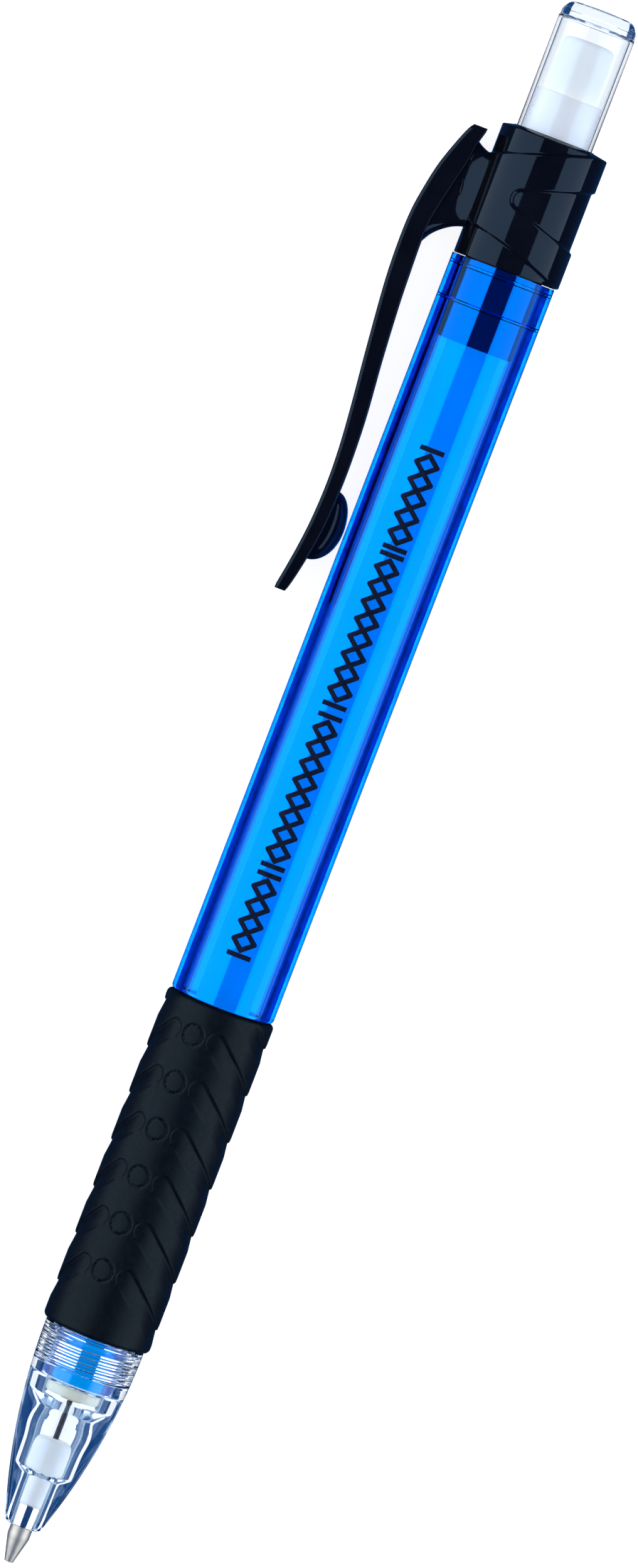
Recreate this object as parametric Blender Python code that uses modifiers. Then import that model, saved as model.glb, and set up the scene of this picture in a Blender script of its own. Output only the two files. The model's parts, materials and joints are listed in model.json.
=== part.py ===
"""A 0.5 mm push-button mechanical pencil, laid on its clip, as separate pieces.

Each piece is modelled along the pencil's own axis, local +Z, from the writing tip at 0 to the push cap at LENGTH, with
the clip on local +X. One empty then lays the pencil down along world +X. All sizes below are in millimetres.
"""

import math

import bmesh
import bpy
from mathutils import Matrix

MM = 0.001
ROUND_STEPS = 24  # facets round a turned piece
FINE_STEPS = 36  # facets round the pieces that show most

# Overall sizes
LENGTH = 145.3
REST_RADIUS = 5.03  # the grip and the collar's band, which the pencil lies on
CLIP_REACH = 9.57  # from the axis to the back of the clip
CLIP_WIDTH = 4.4

# Stations along the axis
TIP_BACK = 5.53
NOSE_FRONT = 3.35
NOSE_BACK = 21.35
SPIGOT_FRONT = 16.95
THREAD_FRONT = 17.7
THREAD_BACK = 20.9
GRIP_FRONT = 21.45
GRIP_BACK = 52.45
BARREL_BACK = 121.15
COLLAR_BACK = 133.5
SKIRT_FRONT = 113.9
TUBE_FRONT = 36.0
TUBE_BACK = 134.1
CAP_FRONT = 126.0
CAP_ROOF = 143.9
ERASER_FRONT = 134.85
ERASER_BACK = 142.4
HOLDER_FRONT = 130.0
HOLDER_BACK = 137.3
CHUCK_FRONT = 15.45
CHUCK_BACK = 38.0
SLEEVE_FRONT = 15.7
SLEEVE_BACK = 24.0
RING_FRONT = 17.2
RING_BACK = 19.2
SOCKET_FRONT = 34.6
SOCKET_BACK = 41.5

# Radii
LEAD_RADIUS = 0.25
LEAD_HOLE = 0.30
NOSE_BACK_RADIUS = 4.55
NOSE_OGIVE = 56.3  # radius of the nose's long outer curve
THREAD_ROOT = 3.20
THREAD_HEIGHT = 0.20
THREAD_PITCH = 0.55
THREAD_GAP = 0.10
SEAT_RADIUS = 4.00  # under the grip
GRIP_RADIUS = 4.95
BARREL_RADIUS = 4.75
BARREL_BORE = 3.65
TUBE_RADIUS = 2.48
TUBE_BORE = 2.08
COLLAR_RADIUS = 4.68
BAND_RADIUS = 5.03
RECESS_RADIUS = 4.78
CAP_RADIUS = 3.48
CAP_BORE = 3.12
HOLDER_RADIUS = 3.05
ERASER_RADIUS = 2.36
NECK_RADIUS = 0.80  # the chuck's neck, which the spring sits on

# Clip hinge line, across the pencil where the clip's web meets the collar
CLIP_ROOT = BAND_RADIUS + 0.3
CLIP_STATION = 127.0

# How far the pencil rolls until the clip's corner and the grip touch the table together
CLIP_CORNER = math.hypot(CLIP_REACH, CLIP_WIDTH / 2)
ROLL = math.asin(REST_RADIUS / CLIP_CORNER) - math.atan2(CLIP_WIDTH / 2, CLIP_REACH)
CLIP_SIDE = CLIP_REACH * math.cos(ROLL) + CLIP_WIDTH / 2 * math.sin(ROLL)

for old in list(bpy.data.objects):
    bpy.data.objects.remove(old, do_unlink=True)

pieces = bpy.data.collections.new("mechanical_pencil")
cutters = bpy.data.collections.new("cutters")
for group in (pieces, cutters):
    bpy.context.scene.collection.children.link(group)
cutters.hide_render = True


def make_axis():
    """The empty that lays the pencil down: local +Z goes along +X, and the clip turns ROLL below +Y."""
    down, up = math.sin(ROLL), math.cos(ROLL)
    turn = Matrix(((0, 0, 1), (up, down, 0), (-down, up, 0)))
    axis = bpy.data.objects.new("pencil_axis", None)
    middle = (CLIP_SIDE - REST_RADIUS) / 2
    place = Matrix.Translation((-LENGTH / 2 * MM, -middle * MM, REST_RADIUS * MM))
    axis.matrix_world = place @ turn.to_4x4()
    pieces.objects.link(axis)
    return axis


AXIS = make_axis()


# ---------------------------------------------------------------- materials


def material(name, colour, roughness, metallic=0.0, alpha=1.0):
    made = bpy.data.materials.new(name)
    made.use_nodes = True
    made.diffuse_color = (*colour, alpha)
    shader = made.node_tree.nodes["Principled BSDF"]
    shader.inputs["Base Color"].default_value = (*colour, 1)
    shader.inputs["Roughness"].default_value = roughness
    shader.inputs["Metallic"].default_value = metallic
    shader.inputs["Alpha"].default_value = alpha
    return made


CLEAR = material("clear_plastic", (0.86, 0.92, 0.97), 0.05, alpha=0.35)
BLUE = material("blue_plastic", (0.0, 0.22, 0.85), 0.08, alpha=0.6)
BLACK = material("black_plastic", (0.012, 0.014, 0.02), 0.12)
RUBBER = material("black_rubber", (0.012, 0.016, 0.024), 0.6)
NICKEL = material("satin_nickel", (0.62, 0.6, 0.56), 0.28, metallic=1)
BRASS = material("brass", (0.75, 0.6, 0.3), 0.25, metallic=1)
STEEL = material("spring_steel", (0.6, 0.6, 0.62), 0.25, metallic=1)
WHITE = material("white_plastic", (0.88, 0.89, 0.9), 0.3)
SOFT = material("soft_white", (0.9, 0.91, 0.93), 0.5)
FROSTED = material("frosted_plastic", (0.8, 0.86, 0.93), 0.35, alpha=0.6)
GRAPHITE = material("graphite", (0.05, 0.05, 0.055), 0.45, metallic=0.2)


# ---------------------------------------------------------------- modelling helpers


def add(name, mesh, finish, place=(0, 0, 0), group=pieces):
    """Links a mesh or curve as a piece that hangs on the pencil's axis."""
    piece = bpy.data.objects.new(name, mesh)
    group.objects.link(piece)
    piece.parent = AXIS
    piece.location = [part * MM for part in place]
    mesh.materials.append(finish)
    return piece


def smooth(mesh):
    """Shades a mesh smooth except at its sharp edges."""
    mesh.shade_smooth()
    mesh.set_sharp_from_angle(angle=math.radians(40))


def arc(radius, station, size, start, end, steps=3):
    """Points (radius, station) on a rounded corner of the given size, from angle start to end in degrees."""
    angles = [math.radians(start + (end - start) * i / steps) for i in range(steps + 1)]
    return [(radius + size * math.cos(a), station + size * math.sin(a)) for a in angles]


def turned(name, outer, bore, finish, steps=ROUND_STEPS):
    """A turned piece from its outer side and its bore, each listed from the tip end to the cap end.

    A piece with no bore gives an outer side that starts and ends on the axis. A Screw modifier sweeps the outline, and
    the piece then keeps the swept surface.
    """
    outline = list(reversed(outer)) + list(bore)
    mesh = bpy.data.meshes.new(name)
    edges = [(i, i + 1) for i in range(len(outline) - 1)]
    if bore:
        edges.append((len(outline) - 1, 0))
    mesh.from_pydata([(r * MM, 0, z * MM) for r, z in outline], edges, [])
    piece = add(name, mesh, finish)
    screw = piece.modifiers.new("turn", "SCREW")
    screw.steps = screw.render_steps = steps
    screw.use_merge_vertices = True
    screw.merge_threshold = 1e-6
    bpy.context.view_layer.update()
    swept = bpy.data.meshes.new_from_object(piece.evaluated_get(bpy.context.evaluated_depsgraph_get()))
    piece.modifiers.clear()
    piece.data = swept
    smooth(swept)
    return piece


def looped(name, sections, finish, steps):
    """A ring-shaped body through sections that each give (radius, station) for an angle, ending where it began.

    It makes what a plain turned profile can't: a screw thread and a collar whose band runs aslant.
    """
    shape = bmesh.new()
    angles = [math.tau * i / steps for i in range(steps)]
    loops = []
    for section in sections:
        loop = []
        for angle in angles:
            radius, station = section(angle)
            loop.append(shape.verts.new((radius * math.cos(angle) * MM, radius * math.sin(angle) * MM, station * MM)))
        loops.append(loop)
    for low, high in zip(loops, loops[1:] + loops[:1]):
        for i in range(steps):
            j = (i + 1) % steps
            shape.faces.new((low[i], low[j], high[j], high[i]))
    mesh = bpy.data.meshes.new(name)
    shape.to_mesh(mesh)
    shape.free()
    smooth(mesh)
    return add(name, mesh, finish)


def ring(radius, station):
    return lambda angle: (radius, station)


def thread(extra, open_back=False):
    """Sections of the screw thread, from its front to its back. extra is the clearance added to its radius.

    The ridge fades out over one turn at each end. An inner thread is open at its back instead, where it runs off the
    outer one as it unscrews.
    """
    rows = round((THREAD_BACK - THREAD_FRONT) / THREAD_PITCH * 4)
    sections = []
    for row in range(rows + 1):
        station = THREAD_FRONT + row * THREAD_PITCH / 4
        front_fade = min(1, row / 4)
        back_fade = min(1, (rows - row) / 4)

        def section(angle, station=station, front_fade=front_fade, back_fade=back_fade):
            turns = (station - THREAD_FRONT) / THREAD_PITCH - angle / math.tau
            ridge = front_fade * (1 - abs(2 * (turns % 1) - 1))
            ridge = 1 - back_fade * (1 - ridge) if open_back else back_fade * ridge
            return THREAD_ROOT + extra + THREAD_HEIGHT * ridge, station

        sections.append(section)
    return sections


def slab(name, size, place, angle=0.0):
    """A box cutter of the given (x, y, z) size, centred at place and turned by angle about the pencil's axis."""
    shape = bmesh.new()
    bmesh.ops.create_cube(shape, size=1, matrix=Matrix.Diagonal((*[s * MM for s in size], 1)))
    mesh = bpy.data.meshes.new(name)
    shape.to_mesh(mesh)
    shape.free()
    cutter = add(name, mesh, BLACK, group=cutters)
    turn = Matrix.Rotation(angle, 4, "Z")
    cutter.matrix_local = turn @ Matrix.Translation([part * MM for part in place])
    cutter.hide_render = True
    cutter.display_type = "WIRE"
    return cutter


def cut(piece, cutter):
    """Cuts with the EXACT solver, which is the default."""
    step = piece.modifiers.new(cutter.name, "BOOLEAN")
    step.operation = "DIFFERENCE"
    step.object = cutter


# ---------------------------------------------------------------- the front end


def make_metal_tip():
    outer = [(0.42, 0), (1.0, 2.36), (1.02, TIP_BACK)]
    bore = [(LEAD_HOLE, 0), (LEAD_HOLE, TIP_BACK)]
    turned("metal_tip", outer, bore, NICKEL)


def nose_radius(station):
    """The nose's outer curve: one long arc that meets the grip without a step."""
    reach = NOSE_BACK - station
    return NOSE_BACK_RADIUS - NOSE_OGIVE + math.sqrt(NOSE_OGIVE**2 - reach**2)


def make_nose_cone():
    curve_steps = 8
    front = NOSE_FRONT + 0.35
    outer = [(nose_radius(front) - 0.35, NOSE_FRONT)]
    for i in range(curve_steps + 1):
        station = front + (NOSE_BACK - front) * i / curve_steps
        outer.append((nose_radius(station), station))
    chamber = [(1.1, NOSE_FRONT), (1.1, 8.3), (1.8, 8.7), (1.8, 11.4), (1.98, 12.9), (1.7, 14.3)]
    mouth = [(2.5, 15.7), (2.58, SPIGOT_FRONT - 0.2), (THREAD_ROOT + THREAD_GAP, SPIGOT_FRONT - 0.05)]
    back = [(3.6, THREAD_BACK + 0.1), (3.6, NOSE_BACK)]
    inside = [ring(*point) for point in chamber + mouth]
    inside += thread(THREAD_GAP, open_back=True)
    inside += [ring(*point) for point in back]
    looped("nose_cone", [ring(*point) for point in outer] + inside[::-1], CLEAR, ROUND_STEPS)


def make_lead_retainer():
    outer = [(1.0, TIP_BACK + 0.05), (1.0, 8.45), (1.72, 8.8)] + arc(1.22, 11.4, 0.5, 0, 90)
    bore = [(LEAD_HOLE, TIP_BACK + 0.05), (LEAD_HOLE, 11.9)]
    turned("lead_retainer", outer, bore, SOFT)


def make_lead(name, front, back, place=(0, 0, 0)):
    outline = [(0, front), (LEAD_RADIUS, front), (LEAD_RADIUS, back), (0, back)]
    lead = turned(name, outline, [], GRAPHITE, steps=12)
    lead.location = [part * MM for part in place]


# ---------------------------------------------------------------- the push mechanism


def make_chuck():
    """The collet: a head with three jaws on a springy neck, split by three slits from its front."""
    head = [(1.05, CHUCK_FRONT), (1.25, CHUCK_FRONT + 0.2), (1.25, 17.4), (NECK_RADIUS, 19.2)]
    neck = [(NECK_RADIUS, CHUCK_BACK)]
    bore = [(LEAD_HOLE, CHUCK_FRONT), (LEAD_HOLE, CHUCK_BACK)]
    chuck = turned("chuck", head + neck, bore, BRASS)
    slit_width, slit_back = 0.16, 23.5
    length = 2 * (slit_back - CHUCK_FRONT)
    for i in range(3):
        angle = math.tau * (i + 0.25) / 3
        slit = slab(f"chuck_slit_{i + 1}", (1.6, slit_width, length), (0.9, 0, CHUCK_FRONT), angle)
        cut(chuck, slit)


def make_clutch_ring():
    """The ring that holds the jaws shut until the chuck has carried it forward to the sleeve's lip."""
    outer = [(1.7, RING_FRONT), (1.82, RING_FRONT + 0.12), (1.82, RING_BACK)]
    turned("clutch_ring", outer, [(1.38, RING_FRONT), (1.32, RING_BACK)], BRASS)


def make_guide_sleeve():
    """The sleeve has a lip that stops the clutch ring, and a shoulder that the spring pushes on."""
    outer = [(2.2, SLEEVE_FRONT), (2.3, SLEEVE_FRONT + 0.1), (2.3, SLEEVE_BACK)]
    lip = [(1.5, SLEEVE_FRONT), (1.5, RING_FRONT - 1.1), (1.9, RING_FRONT - 1.1)]
    shoulder = [(1.9, 21.3), (1.0, 21.5), (1.0, 22.2), (1.9, 22.3), (1.9, SLEEVE_BACK)]
    turned("guide_sleeve", outer, lip + shoulder, WHITE)


def make_spring():
    """A compression spring on the chuck's neck, as a polyline coil of round wire."""
    wire, coil, turns, per_turn = 0.15, 1.35, 8, 10
    front, back = 22.5, SOCKET_FRONT - 0.25
    curve = bpy.data.curves.new("spring", "CURVE")
    curve.dimensions = "3D"
    curve.bevel_depth = wire * MM
    curve.bevel_resolution = 2
    curve.use_fill_caps = True
    line = curve.splines.new("POLY")
    count = turns * per_turn + 1
    line.points.add(count - 1)
    for i, point in enumerate(line.points):
        angle = math.tau * i / per_turn
        station = front + (back - front) * i / (count - 1)
        point.co = (coil * math.cos(angle) * MM, coil * math.sin(angle) * MM, station * MM, 1)
    add("spring", curve, STEEL)


def make_chuck_socket():
    """The plug in the tube's front end that takes the chuck's neck, with a funnel for the spare leads."""
    outer = [(2.2, SOCKET_FRONT), (2.2, TUBE_FRONT - 0.1), (2.0, TUBE_FRONT - 0.1), (2.0, SOCKET_BACK)]
    seat = [(NECK_RADIUS + 0.06, SOCKET_FRONT), (NECK_RADIUS + 0.06, CHUCK_BACK + 0.1)]
    funnel = [(0.36, CHUCK_BACK + 0.2), (0.36, CHUCK_BACK + 1.0), (1.6, SOCKET_BACK)]
    turned("chuck_socket", outer, seat + funnel, BLACK)


def make_lead_tube():
    outer = [(TUBE_RADIUS, TUBE_FRONT), (TUBE_RADIUS, TUBE_BACK)]
    bore = [(TUBE_BORE, TUBE_FRONT), (TUBE_BORE, TUBE_BACK)]
    turned("lead_tube", outer, bore, FROSTED)


def make_spare_leads():
    """Three leads that lie side by side at the bottom of the tube, beside the one in use."""
    spread, distance = math.radians(22), TUBE_BORE - LEAD_RADIUS - 0.05
    lowest = ROLL - math.pi / 2
    for i in range(3):
        angle = lowest + (i - 1) * spread
        place = (distance * math.cos(angle), distance * math.sin(angle), 0)
        make_lead(f"spare_lead_{i + 1}", SOCKET_BACK + 0.5, SOCKET_BACK + 60.5, place)


# ---------------------------------------------------------------- grip, barrel and collar


def make_rubber_grip():
    corner = 0.45
    side = GRIP_RADIUS - corner
    front = [(nose_radius(NOSE_BACK), GRIP_FRONT)] + arc(side, GRIP_FRONT + corner, corner, -70, 0)
    back = arc(side, GRIP_BACK - corner, corner, 0, 90)
    bore = [(SEAT_RADIUS + 0.05, GRIP_FRONT), (SEAT_RADIUS + 0.05, GRIP_BACK)]
    turned("rubber_grip", front + back, bore, RUBBER, FINE_STEPS)


def make_barrel():
    """One tube: threaded spigot, grip seat and the long clear stretch, bored for the sleeve, tube and skirt."""
    spigot = [(3.0, SPIGOT_FRONT), (THREAD_ROOT, SPIGOT_FRONT + 0.3)]
    seat = [(THREAD_ROOT, 21.1), (SEAT_RADIUS, GRIP_FRONT + 0.15), (SEAT_RADIUS, GRIP_BACK)]
    body = [(BARREL_RADIUS, GRIP_BACK + 0.1), (BARREL_RADIUS, BARREL_BACK)]
    bore = [(2.4, SPIGOT_FRONT), (2.4, 31.5), (2.7, 31.8), (2.7, 52.0), (BARREL_BORE, 54.0)]
    bore.append((BARREL_BORE, BARREL_BACK))
    sections = [ring(*point) for point in spigot] + thread(0.0)
    sections += [ring(*point) for point in seat + body]
    sections += [ring(*point) for point in reversed(bore)]
    looped("barrel", sections, BLUE, ROUND_STEPS)


def band_edges(angle):
    """Front and back edge of the collar's raised band: narrow at the clip, full width on the far side."""
    away = (1 - math.cos(angle)) / 2
    return 123.9 - 2.5 * away, 130.5 + 2.75 * away


def recess_edges(angle):
    """Front and back edge of the V-shaped recess, which opens from a point on each side to the far side."""
    point_angle, middle = math.radians(69), 127.35
    spread = max(0.0, min(angle, math.tau - angle) - point_angle) / (math.pi - point_angle)
    half = 0.03 + 2.75 * spread**0.8
    return middle - half, middle + half, min(1.0, spread * 6)


def make_collar():
    """The collar with its band and recess, and the slotted skirt that plugs into the barrel."""
    step = 0.12

    def band_front(angle):
        return COLLAR_RADIUS, band_edges(angle)[0] - step

    def band_front_top(angle):
        return BAND_RADIUS, band_edges(angle)[0]

    def recess_front_top(angle):
        return BAND_RADIUS, recess_edges(angle)[0] - step

    def recess_front(angle):
        low, _, depth = recess_edges(angle)
        return BAND_RADIUS + depth * (RECESS_RADIUS - BAND_RADIUS), low

    def recess_back(angle):
        _, high, depth = recess_edges(angle)
        return BAND_RADIUS + depth * (RECESS_RADIUS - BAND_RADIUS), high

    def recess_back_top(angle):
        return BAND_RADIUS, recess_edges(angle)[1] + step

    def band_back_top(angle):
        return BAND_RADIUS, band_edges(angle)[1]

    def band_back(angle):
        return COLLAR_RADIUS, band_edges(angle)[1] + step

    front = BARREL_BACK + 0.05
    skirt = [(3.55, SKIRT_FRONT), (3.55, front), (COLLAR_RADIUS, front)]
    slanted = [band_front, band_front_top, recess_front_top, recess_front]
    slanted += [recess_back, recess_back_top, band_back_top, band_back]
    back = [(COLLAR_RADIUS, COLLAR_BACK - 0.12), (3.6, COLLAR_BACK)]
    bore = [(3.6, 122.4), (2.95, 122.0), (2.95, SKIRT_FRONT)]
    sections = [ring(*point) for point in skirt] + slanted + [ring(*point) for point in back + bore]
    collar = looped("collar", sections, BLACK, FINE_STEPS)
    slot_width, slot_length, slot_middle = 1.0, 5.1, 117.55
    cut(collar, slab("skirt_slot", (slot_width, 2 * BARREL_RADIUS, slot_length), (0, 0, slot_middle)))


def smooth_line(points, steps=3):
    """A Catmull-Rom curve through the points, steps pieces to each span."""
    padded = [points[0], *points, points[-1]]
    line = []
    for p0, p1, p2, p3 in zip(padded, padded[1:], padded[2:], padded[3:]):
        for i in range(steps):
            t = i / steps
            weights = (-t + 2 * t**2 - t**3, 2 - 5 * t**2 + 3 * t**3, t + 4 * t**2 - 3 * t**3, t**3 - t**2)
            line.append(tuple(sum(w * p[k] for w, p in zip(weights, (p0, p1, p2, p3))) / 2 for k in (0, 1)))
    return line + [points[-1]]


def make_clip():
    """The clip's side outline, extruded to its width and rounded. Its origin is on the hinge line at its root."""
    back = [(7.15, 132.15), (8.01, 129.9), (8.79, 127.4), (9.25, 124.9), (CLIP_REACH, 120.1), (9.29, 115.0)]
    back += [(8.51, 107.6), (7.95, 100.5), (7.98, 95.2), (8.35, 91.5), (8.88, 88.5)]
    tail = [(7.75, 88.5), (7.0, 91.5)]
    pad = [(6.2, 91.7), (5.3, 93.0), (4.9, 94.9), (5.3, 96.7), (6.3, 97.9)]
    front = [(6.4, 98.6), (6.6, 105.0), (7.24, 112.0), (7.55, 117.6), (7.6, 121.2)]
    web = [(6.9, 122.2), (CLIP_ROOT, 123.3), (CLIP_ROOT, 130.4), (6.05, 130.9), (5.7, 132.1)]
    outline = smooth_line(back) + tail + smooth_line(pad, 2) + smooth_line(front, 2) + web
    curve = bpy.data.curves.new("clip_outline", "CURVE")
    curve.dimensions = "2D"
    curve.fill_mode = "BOTH"
    curve.extrude = CLIP_WIDTH / 2 * MM
    line = curve.splines.new("POLY")
    line.use_cyclic_u = True
    line.points.add(len(outline) - 1)
    for point, (radius, station) in zip(line.points, outline):
        point.co = ((radius - CLIP_ROOT) * MM, (station - CLIP_STATION) * MM, 0, 1)
    flat = bpy.data.objects.new("clip_outline", curve)
    pieces.objects.link(flat)
    bpy.context.view_layer.update()
    mesh = bpy.data.meshes.new_from_object(flat.evaluated_get(bpy.context.evaluated_depsgraph_get()))
    bpy.data.objects.remove(flat)
    welded = bmesh.new()
    welded.from_mesh(mesh)
    bmesh.ops.remove_doubles(welded, verts=welded.verts, dist=1e-6)
    # The curve lies in its own XY plane: this stands it up, so that its Y runs along the pencil.
    bmesh.ops.rotate(welded, verts=welded.verts, matrix=Matrix.Rotation(math.pi / 2, 3, "X"))
    welded.to_mesh(mesh)
    welded.free()
    smooth(mesh)
    add("clip", mesh, BLACK, (CLIP_ROOT, 0, CLIP_STATION))


# ---------------------------------------------------------------- the push cap


def make_eraser_holder():
    """A cup for the eraser on top, and a socket below that fits over the lead tube's end."""
    edge, gap, hole = 0.1, 0.05, 1.2
    outer = [(HOLDER_RADIUS - edge, HOLDER_FRONT), (HOLDER_RADIUS, HOLDER_FRONT + edge)]
    outer += [(HOLDER_RADIUS, HOLDER_BACK - edge), (HOLDER_RADIUS - edge, HOLDER_BACK)]
    socket = [(TUBE_RADIUS + gap, HOLDER_FRONT), (TUBE_RADIUS + gap, TUBE_BACK + 0.1), (hole, TUBE_BACK + 0.1)]
    cup = [(hole, ERASER_FRONT - 0.1), (ERASER_RADIUS + gap, ERASER_FRONT - 0.1), (ERASER_RADIUS + gap, HOLDER_BACK)]
    turned("eraser_holder", outer, socket + cup, WHITE)


def make_eraser():
    corner = 0.6
    side = ERASER_RADIUS - corner
    outline = [(0, ERASER_FRONT), (ERASER_RADIUS, ERASER_FRONT)] + arc(side, ERASER_BACK - corner, corner, 0, 90)
    turned("eraser", outline + [(0, ERASER_BACK)], [], SOFT)


def make_push_cap():
    corner = 0.9
    side = [(CAP_RADIUS, CAP_FRONT), (CAP_RADIUS, CAP_ROOF)]
    crown = arc(CAP_RADIUS - corner, LENGTH - corner, corner, 0, 90, 4)
    inside = [(0, CAP_ROOF), (CAP_BORE - 0.2, CAP_ROOF), (CAP_BORE, CAP_ROOF - 0.2), (CAP_BORE, CAP_FRONT)]
    # The wall is one line from the roof's underside, down the bore, up the outer side and over the crown.
    turned("push_cap", inside + side + crown + [(0, LENGTH)], [], CLEAR)


make_metal_tip()
make_nose_cone()
make_lead_retainer()
make_lead("lead", 0.6, 50.6)
make_chuck()
make_clutch_ring()
make_guide_sleeve()
make_spring()
make_chuck_socket()
make_lead_tube()
make_spare_leads()
make_rubber_grip()
make_barrel()
make_collar()
make_clip()
make_eraser_holder()
make_eraser()
make_push_cap()
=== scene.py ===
import json
import math

import bmesh
import bpy
import numpy as np
from mathutils import Matrix, Vector


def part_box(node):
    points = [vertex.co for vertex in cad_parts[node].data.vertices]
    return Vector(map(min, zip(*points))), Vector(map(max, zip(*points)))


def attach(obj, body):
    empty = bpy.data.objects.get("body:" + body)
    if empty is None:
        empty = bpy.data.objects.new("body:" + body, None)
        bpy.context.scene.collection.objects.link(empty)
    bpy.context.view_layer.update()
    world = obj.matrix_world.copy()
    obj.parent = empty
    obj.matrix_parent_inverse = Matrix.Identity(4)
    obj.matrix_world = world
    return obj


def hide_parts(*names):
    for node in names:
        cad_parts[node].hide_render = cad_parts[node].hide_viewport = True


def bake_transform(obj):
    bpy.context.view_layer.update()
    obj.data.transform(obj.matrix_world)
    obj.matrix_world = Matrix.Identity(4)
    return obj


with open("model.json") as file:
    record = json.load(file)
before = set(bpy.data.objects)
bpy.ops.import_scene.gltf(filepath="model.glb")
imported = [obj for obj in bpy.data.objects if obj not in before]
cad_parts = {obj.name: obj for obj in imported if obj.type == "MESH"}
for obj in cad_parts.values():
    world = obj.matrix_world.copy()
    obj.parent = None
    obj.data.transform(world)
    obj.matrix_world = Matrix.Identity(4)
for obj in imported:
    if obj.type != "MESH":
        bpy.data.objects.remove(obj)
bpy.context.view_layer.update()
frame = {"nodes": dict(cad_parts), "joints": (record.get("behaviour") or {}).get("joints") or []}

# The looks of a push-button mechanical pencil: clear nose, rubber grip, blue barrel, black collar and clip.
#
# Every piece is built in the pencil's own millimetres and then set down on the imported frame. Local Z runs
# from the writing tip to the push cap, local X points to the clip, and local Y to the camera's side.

MM = 0.001


# ---------------------------------------------------------------- the pencil's own frame


def pencil_frame():
    """The matrix from the pencil's millimetres to the row's metres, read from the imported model."""
    low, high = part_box("barrel")
    tip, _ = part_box("metal_tip")
    clip_hinge = next(joint for joint in frame["joints"] if joint["name"] == "clip_flex")
    across = -Vector(clip_hinge["axis"]).normalized()
    along = Vector((1, 0, 0))
    out = across.cross(along)
    turn = Matrix((out, across, along)).transposed().to_4x4()
    corner = Vector((tip.x, (low.y + high.y) / 2, (low.z + high.z) / 2))
    return Matrix.Translation(corner) @ turn @ Matrix.Scale(MM, 4)


PENCIL = pencil_frame()


def station_of(node, end):
    """Where a CAD node starts (end 0) or stops (end 1) along the pencil, in millimetres from the tip."""
    return (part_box(node)[end].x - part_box("metal_tip")[0].x) / MM


LENGTH = station_of("push_cap", 1)
TIP_BACK = station_of("metal_tip", 1)
NOSE_FRONT = station_of("nose_cone", 0)
NOSE_BACK = station_of("nose_cone", 1)
SPIGOT_FRONT = station_of("barrel", 0)
GRIP_FRONT = station_of("rubber_grip", 0)
GRIP_BACK = station_of("rubber_grip", 1)
BARREL_BACK = station_of("barrel", 1)
SKIRT_FRONT = station_of("collar", 0)
COLLAR_BACK = station_of("collar", 1)
TUBE_FRONT = station_of("lead_tube", 0)
TUBE_BACK = station_of("lead_tube", 1)
CAP_FRONT = station_of("push_cap", 0)

BARREL_RADIUS = 4.75
BARREL_BORE = 3.75
NOSE_BACK_RADIUS = 4.55
NOSE_OGIVE = 56.3
THREAD_FRONT, THREAD_BACK = 17.7, 20.9
THREAD_ROOT, THREAD_HEIGHT, THREAD_PITCH, THREAD_GAP = 3.20, 0.20, 0.55, 0.10
GRIP_RADIUS = 4.95
COLLAR_RADIUS, BAND_RADIUS, RECESS_RADIUS = 4.68, 5.03, 4.78
CLIP_STATION, CLIP_WIDTH = 127.0, 4.4
LUSTRE, BORE_LUSTRE = "lustre", 0.38  # the face attribute's name, and its value in the barrel's bore
NOISE_LOW, NOISE_HIGH = 0.3, 0.7  # nearly all of a noise texture lies between these


# ---------------------------------------------------------------- mesh helpers


def finish_mesh(name, vertices, faces, body, node, look, sharp=35):
    """Sets a mesh given in pencil millimetres down on the frame.

    It rides on its body and stands for its CAD node, if it is given them.
    """
    mesh = bpy.data.meshes.new(name)
    points = np.asarray(vertices, float).reshape(-1, 3)
    matrix = np.array(PENCIL)
    world = points @ matrix[:3, :3].T + matrix[:3, 3]
    mesh.from_pydata(world.tolist(), [], faces)
    mesh.update()
    mesh.validate()
    shape = bmesh.new()
    shape.from_mesh(mesh)
    bmesh.ops.recalc_face_normals(shape, faces=shape.faces)
    shape.to_mesh(mesh)
    shape.free()
    mesh.shade_smooth()
    mesh.set_sharp_from_angle(angle=math.radians(sharp))
    piece = bpy.data.objects.new(name, mesh)
    bpy.context.scene.collection.objects.link(piece)
    mesh.materials.append(look)
    if body:
        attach(piece, body)
    if node:
        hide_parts(node)
    return piece


def ring_faces(rings, around, closed):
    """Quads between successive rings of points, and back to the first ring if closed."""
    faces = []
    last = rings if closed else rings - 1
    for i in range(last):
        low, high = i * around, (i + 1) % rings * around
        for k in range(around):
            n = (k + 1) % around
            faces.append((low + k, low + n, high + n, high + k))
    return faces


def polar(radius, station, angle):
    """Points at a radius, station and angle, which may be arrays."""
    return np.stack([radius * np.cos(angle), radius * np.sin(angle), station + 0 * angle], axis=-1)


def fillet(points):
    """A profile with rounded corners. Each point is a radius, a station and, if rounded, a corner size."""
    steps = 4
    line = []
    count = len(points)
    for i, point in enumerate(points):
        here = np.array(point[:2], float)
        size = point[2] if len(point) > 2 else 0
        if not size:
            line.append(tuple(here))
            continue
        before = np.array(points[i - 1][:2], float) - here
        after = np.array(points[(i + 1) % count][:2], float) - here
        room = min(np.linalg.norm(before), np.linalg.norm(after)) * 0.48
        cut = min(size, room)
        start = here + before / np.linalg.norm(before) * cut
        end = here + after / np.linalg.norm(after) * cut
        for k in range(steps + 1):
            t = k / steps
            line.append(tuple((1 - t) ** 2 * start + 2 * t * (1 - t) * here + t**2 * end))
    return line


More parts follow.
